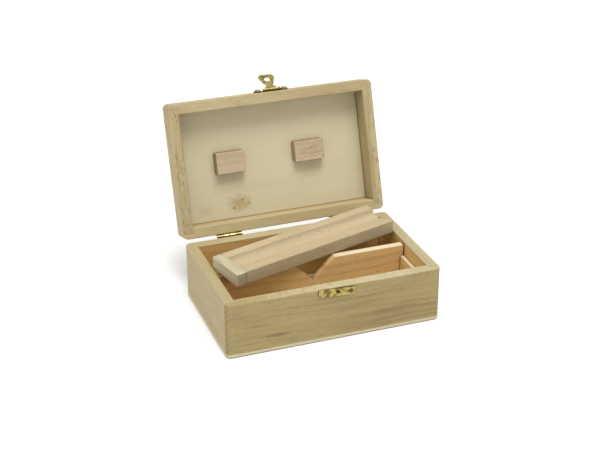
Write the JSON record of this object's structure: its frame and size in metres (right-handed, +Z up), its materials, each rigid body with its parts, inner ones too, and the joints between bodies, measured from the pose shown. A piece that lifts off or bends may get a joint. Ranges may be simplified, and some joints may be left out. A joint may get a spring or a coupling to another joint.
{
  "type": "art supply box",
  "caption": "Small hinged wooden box with a notched partition, a loose scoop tray, glued lid blocks and a brass clasp, standing open.",
  "frame": {"origin": "centre of the base, on the surface the box stands on", "axes": "+X to the right along the front, +Y to the back where the hinges are, +Z up"},
  "size_m": [0.16, 0.1583, 0.1441],
  "materials": {
    "pine": "bare, sanded",
    "pale_panel": "bare plywood, sanded",
    "inner_wood": "bare, sanded",
    "tray_wood": "bare, sanded",
    "block_wood": "bare, sawn",
    "brass": "plated and polished"
  },
  "bodies": {
    "box": {"back_wall": "pine", "bottom_panel": "pale_panel", "catch_plate": "brass", "catch_screws": "brass", "front_wall": "pine", "left_hinge_box_leaf": "brass", "left_hinge_box_screws": "brass", "left_hinge_pin": "brass", "left_ledge": "inner_wood", "left_wall": "pine", "partition": "inner_wood", "right_hinge_box_leaf": "brass", "right_hinge_box_screws": "brass", "right_hinge_pin": "brass", "right_ledge": "inner_wood", "right_wall": "pine"},
    "lid": {"hasp_pin": "brass", "hasp_plate": "brass", "hasp_screws": "brass", "left_hinge_lid_leaf": "brass", "left_hinge_lid_screws": "brass", "lid_back_rail": "pine", "lid_block_left": "block_wood", "lid_block_right": "block_wood", "lid_front_rail": "pine", "lid_left_rail": "pine", "lid_panel": "pale_panel", "lid_right_rail": "pine", "right_hinge_lid_leaf": "brass", "right_hinge_lid_screws": "brass"},
    "hasp": {"hasp": "brass"},
    "tray": {"tray_body": "tray_wood", "tray_end_cap": "tray_wood"}
  },
  "joints": [
    {"name": "lid_hinge", "type": "hinge", "parent": "box", "child": "lid", "pos_m": [0, 0.0515, 0.04185], "axis": [1, 0, 0], "range_deg": [0, 108.25]},
    {"name": "hasp_pivot", "type": "hinge", "parent": "lid", "child": "hasp", "pos_m": [0, 0.08991, 0.13774], "axis": [1, 0, 0], "range_deg": [0, 140]},
    {"name": "tray_slide", "type": "slide", "parent": "box", "child": "tray", "axis": [0, -0.9993, -0.0366], "range_m": [0, 0.005]}
  ],
  "couplings": [
    {"joint": "tray_slide", "follows": "lid_hinge", "m_per_rad": 0.0026465}
  ]
}
